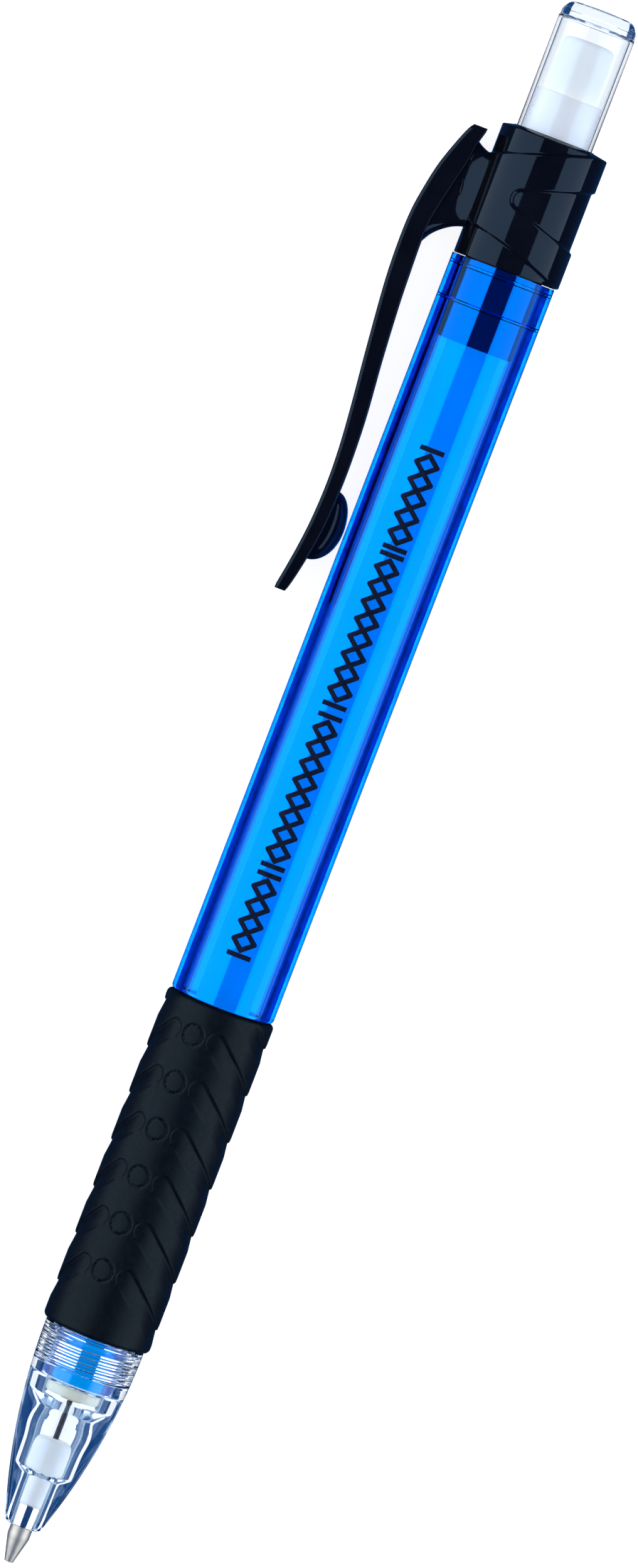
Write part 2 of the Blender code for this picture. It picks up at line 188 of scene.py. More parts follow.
def lathe(name, profile, body, node, look, around=96):
    """A turned piece. The profile is a closed loop, or it starts and ends on the axis."""
    points = fillet(profile)
    on_axis = points[0][0] == 0 and points[-1][0] == 0
    inner = points[1:-1] if on_axis else points
    angles = np.arange(around) * math.tau / around
    vertices = np.concatenate([polar(r, z, angles) for r, z in inner])
    faces = ring_faces(len(inner), around, closed=not on_axis)
    if on_axis:
        vertices = np.concatenate([vertices, [(0, 0, points[0][1]), (0, 0, points[-1][1])]])
        first, last = len(vertices) - 2, len(vertices) - 1
        top = (len(inner) - 1) * around
        for k in range(around):
            n = (k + 1) % around
            faces.append((first, n, k))
            faces.append((last, top + k, top + n))
    return finish_mesh(name, vertices, faces, body, node, look)


def wrapped(name, sections, body, node, look):
    """A ring-shaped body through sections, each a function of the angles that gives radius and station."""
    around = 144
    angles = np.arange(around) * math.tau / around
    rings = []
    for section in sections:
        radius, station = section(angles)
        rings.append(polar(radius + 0 * angles, station + 0 * angles, angles))
    faces = ring_faces(len(rings), around, closed=True)
    return finish_mesh(name, np.concatenate(rings), faces, body, node, look)


def fixed(radius, station):
    """A section that is round and square to the axis."""
    return lambda angles: (radius, station)


def thread_sections(extra, open_back=False):
    """The screw thread from front to back, with a rounded ridge that fades out over its end turns.

    extra widens it. With open_back the back turn ends at the ridge's height, as a nut's thread does.
    """
    per_turn = 12
    rows = round((THREAD_BACK - THREAD_FRONT) / THREAD_PITCH * per_turn)
    sections = []
    for row in range(rows + 1):
        front_fade, back_fade = min(1, row / per_turn), min(1, (rows - row) / per_turn)
        station = THREAD_FRONT + row * THREAD_PITCH / per_turn

        def section(angles, station=station, front_fade=front_fade, back_fade=back_fade):
            turns = (station - THREAD_FRONT) / THREAD_PITCH - angles / math.tau
            wave = 1 - np.abs(2 * (turns % 1) - 1)
            ridge = front_fade * wave * wave * (3 - 2 * wave)
            ridge = 1 - back_fade * (1 - ridge) if open_back else back_fade * ridge
            return THREAD_ROOT + extra + THREAD_HEIGHT * ridge, station

        sections.append(section)
    return sections


def smoothstep(low, high, value):
    t = np.clip((value - low) / (high - low), 0, 1)
    return t * t * (3 - 2 * t)


def mark_faces(piece, name, value, chosen):
    """Stores the value under this name on the faces whose centres, in pencil millimetres, are chosen."""
    marks = piece.data.attributes.new(name, "FLOAT", "FACE")
    to_pencil = PENCIL.inverted()
    for face, mark in zip(piece.data.polygons, marks.data):
        mark.value = value if chosen(to_pencil @ face.center) else 0.0


def apply_modifiers(piece):
    """Replaces the piece's mesh by what its modifiers make of it."""
    graph = bpy.context.evaluated_depsgraph_get()
    mesh = bpy.data.meshes.new_from_object(piece.evaluated_get(graph))
    piece.modifiers.clear()
    piece.data = mesh


def cut_away(piece, shape):
    """Cuts a closed bmesh, given in pencil millimetres, out of the piece."""
    shape.transform(PENCIL)
    bmesh.ops.recalc_face_normals(shape, faces=shape.faces)
    mesh = bpy.data.meshes.new("cutter")
    shape.to_mesh(mesh)
    shape.free()
    cutter = bpy.data.objects.new("cutter", mesh)
    bpy.context.scene.collection.objects.link(cutter)
    step = piece.modifiers.new("cut", "BOOLEAN")
    step.operation = "DIFFERENCE"
    step.object = cutter
    apply_modifiers(piece)
    bpy.data.objects.remove(cutter)


# ---------------------------------------------------------------- materials


class Look:
    """A material graph: a Principled shader with helpers that wire procedural detail into it."""

    def __init__(self, name):
        self.material = bpy.data.materials.new(name)
        self.material.use_nodes = True
        self.tree = self.material.node_tree
        self.shader = self.tree.nodes["Principled BSDF"]
        self.output = self.tree.nodes["Material Output"]
        self.coordinates = self.node("ShaderNodeTexCoord")

    def node(self, kind, **settings):
        made = self.tree.nodes.new(kind)
        for key, value in settings.items():
            setattr(made, key, value)
        return made

    def link(self, source, target):
        self.tree.links.new(source, target)

    def set(self, **values):
        for key, value in values.items():
            self.shader.inputs[key.replace("_", " ")].default_value = value
        return self

    def noise(self, scale, detail=3.0, stretch=(1, 1, 1)):
        """Noise in the piece's own space, scale in waves per metre. A stretch below 1 draws it out."""
        mapping = self.node("ShaderNodeMapping")
        mapping.inputs["Scale"].default_value = stretch
        self.link(self.coordinates.outputs["Object"], mapping.inputs["Vector"])
        texture = self.node("ShaderNodeTexNoise")
        texture.inputs["Scale"].default_value = scale
        texture.inputs["Detail"].default_value = detail
        self.link(mapping.outputs["Vector"], texture.inputs["Vector"])
        return texture.outputs["Fac"]

    def spread(self, source, low, high):
        """The source's usual span mapped onto low to high."""
        mapped = self.node("ShaderNodeMapRange")
        mapped.inputs["From Min"].default_value = NOISE_LOW
        mapped.inputs["From Max"].default_value = NOISE_HIGH
        mapped.inputs["To Min"].default_value = low
        mapped.inputs["To Max"].default_value = high
        self.link(source, mapped.inputs["Value"])
        return mapped.outputs["Result"]

    def colours(self, source, first, second):
        """A base colour that wanders between the two."""
        ramp = self.node("ShaderNodeValToRGB")
        ramp.color_ramp.elements[0].position = NOISE_LOW
        ramp.color_ramp.elements[0].color = (*first, 1)
        ramp.color_ramp.elements[1].position = NOISE_HIGH
        ramp.color_ramp.elements[1].color = (*second, 1)
        self.link(source, ramp.inputs["Fac"])
        self.link(ramp.outputs["Color"], self.shader.inputs["Base Color"])
        return self

    def roughness(self, source, low, high):
        self.link(self.spread(source, low, high), self.shader.inputs["Roughness"])
        return self

    def bump(self, source, distance, strength):
        made = self.node("ShaderNodeBump")
        made.inputs["Strength"].default_value = strength
        made.inputs["Distance"].default_value = distance
        self.link(source, made.inputs["Height"])
        self.link(made.outputs["Normal"], self.shader.inputs["Normal"])
        return self

    def absorb(self, colour, density):
        """Colour that deepens with the thickness the light goes through."""
        volume = self.node("ShaderNodeVolumeAbsorption")
        volume.inputs["Color"].default_value = (*colour, 1)
        volume.inputs["Density"].default_value = density
        self.link(volume.outputs["Volume"], self.output.inputs["Volume"])
        return self


def clear_plastic():
    look = Look("clear_plastic").set(Transmission_Weight=1.0, IOR=1.49, Specular_Tint=(0.4, 0.62, 0.86, 1))
    look.colours(look.noise(180), (0.92, 0.965, 1.0), (0.95, 0.98, 1.0))
    look.roughness(look.noise(900), 0.0, 0.02)
    look.bump(look.noise(420, 1.0), 0.000002, 0.25)
    return look.absorb((0.25, 0.58, 1.0), 25).material


def blue_plastic():
    """Transparent blue plastic. Faces marked with a lustre reflect in the plastic's colour."""
    look = Look("blue_plastic").set(Transmission_Weight=1.0, IOR=1.49, Specular_Tint=(0.0, 0.4, 1.0, 1))
    look.colours(look.noise(160), (0.0, 0.76, 1.0), (0.0, 0.8, 1.0))
    look.roughness(look.noise(800), 0.0, 0.02)
    look.bump(look.noise(500, 1.0), 0.000002, 0.2)
    lustre = look.node("ShaderNodeAttribute", attribute_name=LUSTRE)
    look.link(lustre.outputs["Fac"], look.shader.inputs["Metallic"])
    return look.absorb((0.0, 0.3, 1.0), 700).material


def black_plastic():
    look = Look("black_plastic").set(IOR=1.5, Specular_IOR_Level=0.28, Specular_Tint=(0.42, 0.66, 1.0, 1))
    look.colours(look.noise(260), (0.0015, 0.0018, 0.003), (0.0028, 0.0032, 0.005))
    look.roughness(look.noise(1400), 0.03, 0.09)
    look.bump(look.noise(700, 2.0), 0.000004, 0.3)
    return look.material


def black_rubber():
    look = Look("black_rubber").set(IOR=1.5, Specular_IOR_Level=0.14, Specular_Tint=(0.6, 0.85, 1.0, 1))
    look.colours(look.noise(900, 5.0), (0.0008, 0.0013, 0.0026), (0.0018, 0.0027, 0.0048))
    look.roughness(look.noise(2600), 0.36, 0.5)
    look.bump(look.noise(9000, 4.0), 0.00003, 0.35)
    return look.material


def turned_metal(name, first, second, low, high):
    """Metal with the fine rings that a lathe leaves, which run round the pencil's axis."""
    look = Look(name).set(Metallic=1.0)
    rings = look.noise(30000, 2.0, stretch=(1, 0.02, 0.02))
    look.colours(look.noise(1500, 4.0), first, second)
    look.roughness(rings, low, high)
    look.bump(rings, 0.000004, 0.5)
    return look.material


def milky(name, first, second, rough, depth, lift):
    """White plastic or rubber that light soaks into.

    Its glow, lift, makes up for light that the renderer doesn't carry through clear plastic.
    """
    look = Look(name).set(Subsurface_Weight=depth, Subsurface_Scale=0.0012, IOR=1.45)
    look.set(Subsurface_Radius=(1.0, 1.0, 1.0), Emission_Color=(*second, 1), Emission_Strength=lift)
    look.colours(look.noise(700, 4.0), first, second)
    look.roughness(look.noise(2000), rough - 0.06, rough + 0.08)
    look.bump(look.noise(5200, 3.0), 0.000012, 0.3)
    return look.material


def frosted_plastic():
    """Milky plastic: some light goes through it and the rest is spread inside it. It also glows pale blue.
    This is a painted glow that stands in for light the renderer doesn't carry through the plastic around it.
    """
    look = Look("frosted_plastic").set(Transmission_Weight=0.3, IOR=1.3)
    # Painted glow: a pale blue emission that stands in for light reaching the tube through the plastic
    # around it.
    look.set(Emission_Color=(0.5, 0.62, 1.0, 1), Emission_Strength=0.44)
    look.colours(look.noise(500), (0.62, 0.69, 0.93), (0.66, 0.73, 0.97))
    look.roughness(look.noise(1800), 0.55, 0.65)
    look.bump(look.noise(2400, 2.0), 0.000003, 0.3)
    return look.material


def graphite():
    look = Look("graphite").set(Metallic=0.3, IOR=1.6)
    look.colours(look.noise(4000, 4.0), (0.012, 0.013, 0.02), (0.04, 0.04, 0.05))
    look.roughness(look.noise(6000), 0.3, 0.5)
    look.bump(look.noise(14000, 3.0), 0.000006, 0.4)
    return look.material


def navy_ink():
    look = Look("navy_ink").set(IOR=1.45, Specular_IOR_Level=0.08)
    look.colours(look.noise(3000, 4.0), (0.001, 0.003, 0.012), (0.002, 0.008, 0.03))
    look.roughness(look.noise(5000), 0.35, 0.55)
    look.bump(look.noise(9000, 3.0), 0.000004, 0.4)
    return look.material


CLEAR = clear_plastic()
BLUE = blue_plastic()
BLACK = black_plastic()
RUBBER = black_rubber()
SATIN = turned_metal("satin_nickel", (0.5, 0.46, 0.4), (0.62, 0.57, 0.5), 0.42, 0.55)
NICKEL = turned_metal("bright_nickel", (0.72, 0.71, 0.7), (0.8, 0.79, 0.78), 0.05, 0.12)
BRASS = turned_metal("brass", (0.78, 0.68, 0.42), (0.88, 0.8, 0.56), 0.2, 0.36)
STEEL = turned_metal("spring_steel", (0.5, 0.5, 0.52), (0.66, 0.66, 0.68), 0.18, 0.32)
WHITE = milky("white_plastic", (0.88, 0.88, 0.89), (0.92, 0.92, 0.92), 0.3, 0.2, 0.3)
CREAM = milky("cream_plastic", (0.75, 0.75, 0.58), (0.8, 0.8, 0.64), 0.2, 0.2, 0.25)
PALE = milky("pale_plastic", (0.78, 0.85, 0.95), (0.7, 0.8, 1.0), 0.3, 0.2, 0.5)
SOFT = milky("soft_white", (0.8, 0.82, 0.85), (0.86, 0.86, 0.84), 0.42, 0.5, 0.3)
ERASER = milky("eraser_white", (0.88, 0.88, 0.87), (0.93, 0.92, 0.89), 0.6, 0.3, 0.3)
FROSTED = frosted_plastic()
GRAPHITE = graphite()
INK = navy_ink()


# ---------------------------------------------------------------- the front end


def nose_radius(station):
    """The nose's outer curve: one long arc that meets the grip without a step."""
    reach = NOSE_BACK - station
    return NOSE_BACK_RADIUS - NOSE_OGIVE + math.sqrt(NOSE_OGIVE**2 - reach**2)


def build_nose():
    """The clear nose: the outer curve, the tip's hole, the retainer's chamber and the threaded socket."""
    front, steps = NOSE_FRONT + 0.4, 30
    outer = []
    for i in range(steps + 1):
        station = NOSE_BACK + (front - NOSE_BACK) * i / steps
        outer.append((nose_radius(station), station, 0.08 if i == 0 else 0))
    outer.append((nose_radius(front) - 0.12, NOSE_FRONT + 0.1, 0.25))
    outer.append((1.32, NOSE_FRONT, 0.1))
    chamber = [(1.1, NOSE_FRONT, 0.08), (1.1, 8.2, 0.2), (1.78, 8.75, 0.25)]
    chamber += [(1.8, 11.2, 0.5), (1.98, 12.9, 0.7)]
    mouth = [(1.72, 14.25, 0.3), (2.62, 15.35, 0.15), (2.7, 16.7, 0.08)]
    mouth += [(THREAD_ROOT + THREAD_GAP, 16.9, 0.1)]
    back = [(3.6, THREAD_BACK + 0.1), (3.6, NOSE_BACK)]
    bore = fillet([(NOSE_BACK_RADIUS, NOSE_FRONT), *chamber, *mouth, (3.3, THREAD_FRONT)])[1:-1]
    sections = [fixed(r, z) for r, z in fillet(outer)]
    sections += [fixed(r, z) for r, z in bore]
    sections += thread_sections(THREAD_GAP, open_back=True)
    sections += [fixed(r, z) for r, z in back]
    wrapped("nose", sections, "nose_body", "nose_cone", CLEAR)


def build_tip():
    """The tip's satin cone and, behind it, its polished shank."""
    bore, joint = 0.30, 3.35
    cone = [(bore, 0, 0.02), (0.40, 0, 0.05), (0.985, 2.32, 0.12), (1.0, 2.46, 0.05)]
    cone += [(1.0, joint), (bore, joint)]
    lathe("tip_cone", cone, "tip_body", "metal_tip", SATIN)
    shank = [(bore, joint), (1.0, joint), (1.02, TIP_BACK, 0.06), (bore, TIP_BACK, 0.03)]
    lathe("tip_shank", shank, "tip_body", "metal_tip", NICKEL)


def build_retainer():
    front = TIP_BACK + 0.05
    profile = [(0.3, front), (0.96, front, 0.06), (1.0, 8.42, 0.12), (1.62, 8.66, 0.15), (1.74, 9.1, 0.15)]
    profile += [(1.72, 11.1, 0.25), (1.5, 11.75, 0.3), (0.6, 11.9, 0.1), (0.3, 11.8)]
    lathe("retainer", profile, "nose_body", "lead_retainer", SOFT)


def build_leads():
    """The lead in use and the spare ones, each where its CAD node lies."""
    for name in ("lead", "spare_lead_1", "spare_lead_2", "spare_lead_3"):
        low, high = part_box(name)
        middle = PENCIL.inverted() @ ((low + high) / 2)
        front, back = station_of(name, 0), station_of(name, 1)
        radius, bevel, around = 0.25, 0.04, 24
        angles = np.arange(around) * math.tau / around
        profile = [(radius - bevel, front), (radius, front + bevel)]
        profile += [(radius, back - bevel), (radius - bevel, back)]
        points, faces = loft([polar(r, z, angles) for r, z in profile])
        points += np.array((middle.x, middle.y, 0))
        finish_mesh(f"{name}_stick", points, faces, f"{name}_body", name, GRAPHITE)


def build_spring():
    """A compression spring with closed ends, drawn at its CAD length."""
    wire, coil, turns, per_turn, closed = 0.15, 1.35, 8, 40, 0.34
    front, back = station_of("spring", 0) + wire, station_of("spring", 1) - wire
    sides = 12
    section = np.arange(sides) * math.tau / sides
    rings = []
    for i in range(turns * per_turn + 1):
        turn = i / per_turn
        rise = (0, closed, back - front - closed, back - front)
        station = front + np.interp(turn, (0, 1, turns - 1, turns), rise)
        angle = np.full(section.shape, math.tau * turn)
        rings.append(polar(coil + wire * np.cos(section), station + wire * np.sin(section), angle))
    points, faces = loft(rings)
    piece = finish_mesh("coil", points, faces, None, "spring", STEEL, sharp=60)
    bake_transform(piece)


def build_chuck():
    """The chuck and its socket keep their CAD shapes, slits and all, and take a better finish."""
    for node, look in (("chuck", BRASS), ("chuck_socket", BLACK)):
        frame["nodes"][node].data.materials.clear()
        frame["nodes"][node].data.materials.append(look)


def build_clutch_ring():
    profile = [(1.38, 17.2), (1.7, 17.2, 0.08), (1.82, 17.35, 0.08), (1.82, 19.2, 0.08), (1.32, 19.2, 0.05)]
    lathe("jaw_ring", profile, "clutch_ring_body", "clutch_ring", BRASS)


def build_guide_sleeve():
    """The cream ring that shows in the nose, and the sleeve behind it, which fills the threaded spigot."""
    joint = 16.65
    ring = [(1.5, 15.7, 0.05), (2.4, 15.7, 0.12), (2.5, 15.9, 0.1), (2.5, 16.55, 0.1), (2.3, joint)]
    ring += [(1.9, joint), (1.9, 16.1), (1.5, 16.1, 0.05)]
    lathe("sleeve_ring", ring, "barrel_body", "guide_sleeve", CREAM)
    sleeve = [(2.3, joint), (2.3, 24.0, 0.08), (1.9, 24.0), (1.9, 22.3)]
    sleeve += [(1.0, 22.2, 0.05), (1.0, 21.5, 0.05), (1.9, 21.3), (1.9, joint)]
    lathe("sleeve", sleeve, "barrel_body", "guide_sleeve", PALE)


def build_lead_tube():
    profile = [(2.08, TUBE_FRONT), (2.48, TUBE_FRONT, 0.1), (2.48, TUBE_BACK, 0.1), (2.08, TUBE_BACK)]
    lathe("tube", profile, "mechanism", "lead_tube", FROSTED)


# ---------------------------------------------------------------- rubber grip


GRIP_ROWS, GRIP_PITCH, GRIP_FIRST = 6, 4.41, 27.45
GRIP_TILT = math.radians(-16.6)  # where the front circles lie, from the camera's side towards the clip
CIRCLE_RADIUS, CIRCLE_GROOVE, CIRCLE_DEPTH = 0.93, 0.085, 0.14
BAR_START, BAR_HALF_WIDTH = 2.15, 0.87  # a bar's rounded head is centred this far round from its circle
BAR_EDGE = 0.1


def bar_fall(run):
    """How far a bar's centre line has come forward after this run along the arc, and its slope there."""
    slope, lag, settle = 0.62, 0.9, 3
    early = lag * np.exp(-run / settle)
    return slope * run + lag - early, slope + early / settle


def grip_height(angles, station):
    """How far the grip's surface lies below its full radius, in millimetres.

    A column of grooved circles runs down the front and another down the back. From beside each circle two
    bars slant forward, one to each side. A bar's back edge is a sharp step, and its floor rises from there
    to the surface at its front edge.
    """
    head_step, added_step, sill_depth = 0.12, 0.15, 0.05
    depth = np.zeros(angles.shape)
    to_front = (angles - math.pi / 2 - GRIP_TILT + math.pi) % math.tau - math.pi
    to_back = (angles - math.pi / 2) % math.tau - math.pi
    arc = GRIP_RADIUS * np.minimum(np.abs(to_front), np.abs(to_back))
    run = arc - BAR_START
    fall, slope = bar_fall(np.maximum(run, 0))
    head_slope = bar_fall(0.0)[1]
    for row in range(GRIP_ROWS + 1):
        ahead = station - GRIP_FIRST - row * GRIP_PITCH
        if row < GRIP_ROWS:
            distance = np.hypot(arc, ahead)
            groove = np.exp(-(((distance - CIRCLE_RADIUS) / CIRCLE_GROOVE) ** 2))
            depth = np.maximum(depth, CIRCLE_DEPTH * groove)
        side = (ahead + fall) / np.sqrt(1 + slope**2)
        off = np.where(run > head_slope * ahead, np.abs(side), np.hypot(run, ahead))
        inside = smoothstep(BAR_HALF_WIDTH, BAR_HALF_WIDTH - BAR_EDGE, off)
        back_to_front = np.clip((BAR_HALF_WIDTH - side) / (2 * BAR_HALF_WIDTH), 0, 1)
        step = head_step + added_step * smoothstep(0.0, 2.5, run)
        sill = sill_depth * (1 - smoothstep(1.5, 3.0, run))
        depth = np.maximum(depth, inside * (step * (1 - back_to_front) + sill))
    return depth


def build_grip():
    """The rubber sleeve, with rounded ends where the pattern fades out."""
    around, rows = 324, 300
    angles = np.arange(around) * math.tau / around
    corner, fade_length, bore = 0.5, 1.2, 4.05
    rings = []
    for i in range(rows + 1):
        station = GRIP_FRONT + (GRIP_BACK - GRIP_FRONT) * i / rows
        edge = min(station - GRIP_FRONT, GRIP_BACK - station)
        rounding = corner - math.sqrt(max(0.0, corner**2 - max(0.0, corner - edge) ** 2))
        fade = min(1.0, edge / fade_length)
        radius = GRIP_RADIUS - rounding - fade * grip_height(angles, station)
        rings.append(polar(radius, station, angles))
    rings.append(polar(bore, GRIP_BACK, angles))
    rings.append(polar(bore, GRIP_FRONT, angles))
    faces = ring_faces(len(rings), around, closed=True)
    points = np.concatenate(rings)
    finish_mesh("grip", points, faces, "barrel_body", "rubber_grip", RUBBER, sharp=60)


# ---------------------------------------------------------------- barrel and its printed mark


def build_barrel():
    """The tube: a threaded spigot, the grip's seat, and a bore with two fine grooves near its back end."""
    spigot = [(2.4, SPIGOT_FRONT), (3.05, SPIGOT_FRONT, 0.1), (THREAD_ROOT, SPIGOT_FRONT + 0.3, 0.1)]
    seat = [(THREAD_ROOT, 21.0, 0.1), (4.0, GRIP_FRONT + 0.15, 0.1), (4.0, GRIP_BACK)]
    body = [(BARREL_RADIUS - 0.1, GRIP_BACK + 0.08, 0.06), (BARREL_RADIUS, GRIP_BACK + 0.3, 0.1)]
    body += [(BARREL_RADIUS, BARREL_BACK, 0.06)]
    bore = [(BARREL_BORE, BARREL_BACK, 0.08), (BARREL_BORE, 120.6), (BARREL_BORE + 0.12, 120.5)]
    bore += [(BARREL_BORE + 0.12, 120.35), (BARREL_BORE, 120.25), (BARREL_BORE, 117.42)]
    bore += [(BARREL_BORE + 0.22, 117.32), (BARREL_BORE + 0.22, 117.2), (BARREL_BORE, 117.1)]
    bore += [(BARREL_BORE, 50.5, 0.4), (2.7, 48.5, 0.4), (2.7, 31.8, 0.1), (2.4, 31.5, 0.1)]
    front = fillet([(2.4, 31.5), *spigot, (THREAD_ROOT, THREAD_FRONT)])[1:-1]
    rest = fillet([(THREAD_ROOT, THREAD_BACK), *seat, *body, *bore, (2.4, SPIGOT_FRONT)])[1:-1]
    sections = [fixed(r, z) for r, z in front]
    sections += thread_sections(0.0)
    sections += [fixed(r, z) for r, z in rest]
    shell = wrapped("barrel_shell", sections, "barrel_body", "barrel", BLUE)
    widest = BARREL_BORE + 0.25

    def in_bore(at):
        return math.hypot(at.x, at.y) < widest and at.z > GRIP_BACK

    mark_faces(shell, LUSTRE, BORE_LUSTRE, in_bore)


def ink_stroke(start, end):
    """A thin printed stroke between two points of the barrel's unrolled surface, each (arc, station)."""
    width, steps = 0.44, 8
    bottom, top = BARREL_RADIUS + 0.002, BARREL_RADIUS + 0.014
    start, end = np.array(start), np.array(end)
    along = (end - start) / np.linalg.norm(end - start)
    side = np.array((-along[1], along[0])) * width / 2
    rings = []
    for i in range(steps + 1):
        middle = start - along * width / 3 + (end - start + along * width * 2 / 3) * i / steps
        ring = []
        for radius, edge in ((bottom, -1), (bottom, 1), (top, 1), (top, -1)):
            arc, station = middle + edge * side
            ring.append(polar(radius, station, math.pi / 2 + arc / BARREL_RADIUS))
        rings.append(np.array(ring))
    return loft(rings)


def build_print():
    """A generic printed ornament: four chains of diamonds, closed by a bar at each end."""
    low, high, pitch, bar_gap = -1.15, 0.78, 1.62, 0.5
    strokes = []
    for first, cells in ((57.9, 4), (66.2, 8), (81.2, 8), (95.8, 5)):
        last = first + cells * pitch
        strokes += [((low, end), (high, end)) for end in (first - bar_gap, last + bar_gap)]
        for i in range(cells):
            front, back = first + i * pitch, first + (i + 1) * pitch
            middle = (front + back) / 2
            for corner, tip in (((low + high) / 2, low), ((low + high) / 2, high)):
                strokes += [((corner, front), (tip, middle)), ((tip, middle), (corner, back))]
    points, faces = [], []
    for start, end in strokes:
        more, quads = ink_stroke(start, end)
        faces += [tuple(v + len(points) for v in quad) for quad in quads]
        points += list(more)
    finish_mesh("printed_mark", points, faces, "barrel_body", None, INK)


# ---------------------------------------------------------------- collar and clip


def away_from_clip(angles):
    """0 at the clip, 1 on the far side."""
    return (1 - np.cos(angles)) / 2


def collar_radius(angles, station):
    """The collar's sculpted side: a slanting band with a V-shaped recess in it, mirrored about the clip."""
    away = away_from_clip(angles)
    band_front = 124.05 - 2.85 * away**1.5
    band_back = 130.4 + 3.1 * away
    band = np.minimum(station - band_front, band_back - station)
    radius = COLLAR_RADIUS + (BAND_RADIUS - COLLAR_RADIUS) * smoothstep(-0.05, 0.17, band)
    around = np.arccos(np.clip(np.cos(angles), -1, 1))
    across = around - math.pi / 2
    middle = 127.4
    half = 1.24 + 1.6 * np.sin(across)
    nose_angle, nose_size = math.radians(-9.0), 0.95
    along_arc = (across - nose_angle) * BAND_RADIUS
    arms = (half - np.abs(station - middle)) * 0.95
    nose = nose_size - np.hypot(along_arc, station - middle)
    recess = np.where(along_arc > 0, arms, np.minimum(nose, arms + 10 * (along_arc < 0)))
    sunk = (BAND_RADIUS - RECESS_RADIUS) * smoothstep(-0.04, 0.2, recess)
    return radius - sunk * (radius > COLLAR_RADIUS)


def build_collar():
    """The collar's sculpted ring, and its slotted skirt inside the barrel."""
    around = 360
    angles = np.arange(around) * math.tau / around
    front = BARREL_BACK + 0.05
    skirt = [(2.95, SKIRT_FRONT), (3.55, SKIRT_FRONT, 0.08), (3.55, front), (COLLAR_RADIUS - 0.08, front)]
    rings = [polar(r, z, angles) for r, z in fillet(skirt)[1:]]
    rows, back, corner = 150, COLLAR_BACK - 0.3, 0.1
    for i in range(rows + 1):
        station = front + (back - front) * i / rows
        edge = min(station - front, back - station)
        rounding = corner * (1 - math.sqrt(1 - (1 - min(1.0, edge / corner)) ** 2))
        rings.append(polar(collar_radius(angles, station) - rounding, station, angles))
    bore = [(3.7, COLLAR_BACK - 0.02, 0.06), (3.6, COLLAR_BACK - 0.1), (3.6, 122.4, 0.1)]
    bore += [(2.95, 122.0, 0.1), (2.95, SKIRT_FRONT)]
    rings += [polar(r, z, angles) for r, z in fillet(bore)]
    faces = ring_faces(len(rings), around, closed=True)
    points = np.concatenate(rings)
    name, body = "collar_shell", "barrel_body"
    collar = finish_mesh(name, points, faces, body, "collar", BLACK, sharp=50)
    cut_slot(collar)


def cut_slot(collar):
    """The long rounded slots through the skirt, one facing the camera and one opposite."""
    half_width, low, high, reach, steps = 0.42, 115.4, 119.7, 4.4, 12
    shape = bmesh.new()
    outline = []
    for middle, start in ((high, 0), (low, steps)):
        for i in range(start, start + steps + 1):
            turn = math.pi * i / steps
            outline.append((half_width * math.cos(turn), middle + half_width * math.sin(turn)))
    face = shape.faces.new([shape.verts.new((x, -reach, z)) for x, z in outline])
    out = bmesh.ops.extrude_face_region(shape, geom=[face])
    moved = [v for v in out["geom"] if isinstance(v, bmesh.types.BMVert)]
    bmesh.ops.translate(shape, verts=moved, vec=(0, 2 * reach, 0))
    cut_away(collar, shape)


def curve_through(points, count):
    """Points at even steps along a Catmull-Rom curve through the given ones."""
    steps = 16
    padded = [points[0], *points, points[-1]]
    line = []
    for p0, p1, p2, p3 in zip(padded, padded[1:], padded[2:], padded[3:]):
        for i in range(steps):
            t = i / steps
            weights = (-t + 2 * t**2 - t**3, 2 - 5 * t**2 + 3 * t**3, t + 4 * t**2 - 3 * t**3, t**3 - t**2)
            line.append(sum(w * np.array(p, float) for w, p in zip(weights, (p0, p1, p2, p3))) / 2)
    line.append(np.array(points[-1], float))
    line = np.array(line)
    length = np.concatenate([[0], np.cumsum(np.linalg.norm(np.diff(line, axis=0), axis=1))])
    even = np.linspace(0, length[-1], count)
    return np.stack([np.interp(even, length, line[:, k]) for k in range(line.shape[1])], axis=1)


def loft(rings):
    """Vertices and faces of a closed body through rings of equally many points, capped at both ends."""
    around = len(rings[0])
    faces = ring_faces(len(rings), around, closed=False)
    faces.append(tuple(reversed(range(around))))
    last = (len(rings) - 1) * around
    faces.append(tuple(range(last, last + around)))
    return np.concatenate(rings), faces


def arm_rings():
    """Sections of the clip's arm from its free end to its top, each a rounded box between its two faces."""
    back = [(8.93, 88.35), (8.63, 90.0), (8.23, 92.7), (7.98, 95.2), (7.86, 98.3), (7.95, 101.5)]
    back += [(8.26, 105.2), (8.79, 110.1), (9.29, 115.1), (9.5, 118.0), (9.57, 120.9), (9.5, 123.2)]
    back += [(9.25, 125.1), (8.79, 127.5), (8.25, 129.3), (7.55, 131.2), (7.1, 132.15)]
    face = [(7.75, 88.35), (7.35, 90.0), (6.9, 92.4), (6.55, 95.0), (6.4, 98.3), (6.42, 101.5)]
    face += [(6.6, 105.2), (7.05, 110.1), (7.4, 115.1), (7.52, 118.0), (7.6, 120.9), (7.55, 122.6)]
    face += [(7.3, 124.2), (6.75, 126.8), (6.3, 128.8), (6.0, 130.9), (5.62, 132.15)]
    count = 110
    outer, inner = curve_through(back, count), curve_through(face, count)
    rings = []
    for i in range(count):
        t = i / (count - 1)
        half = CLIP_WIDTH / 2 * (1 - 0.1 * smoothstep(0.75, 1.0, t) - 0.06 * smoothstep(0.2, 0.0, t))
        end = min(t, 1 - t) * (count - 1)
        shrink = 1 - 0.12 * (1 - min(1.0, end / 1.5)) ** 2
        rings.append(arm_section(inner[i], outer[i], half * shrink, shrink))
    return rings


